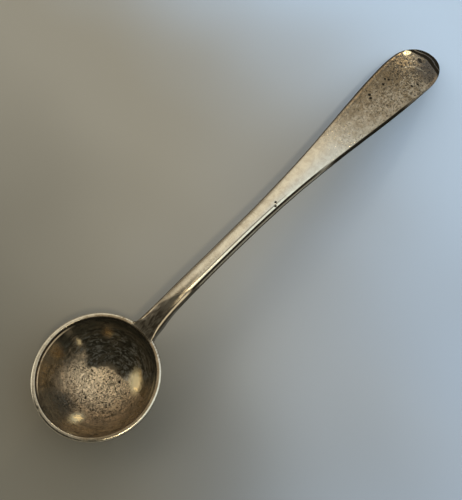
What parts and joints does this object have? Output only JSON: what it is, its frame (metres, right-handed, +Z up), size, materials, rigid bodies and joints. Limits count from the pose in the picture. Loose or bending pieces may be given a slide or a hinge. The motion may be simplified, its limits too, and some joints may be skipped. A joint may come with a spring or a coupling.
{
  "type": "salt spoon",
  "caption": "Small one-piece salt spoon with a deep round bowl, a flat rim, a slim arched stem and a wide rounded end that turns down.",
  "frame": {"origin": "on the table under the middle of the spoon's length", "axes": "+X from the bowl to the end of the handle, +Y across, +Z up out of the bowl"},
  "size_m": [0.1, 0.0214, 0.0113],
  "materials": {
    "silver": "old silver, worn and tarnished: grey-brown patina, fine pits and scratches, rubbed bright edges"
  },
  "bodies": {
    "root": {"salt_spoon": "silver"}
  },
  "joints": []
}
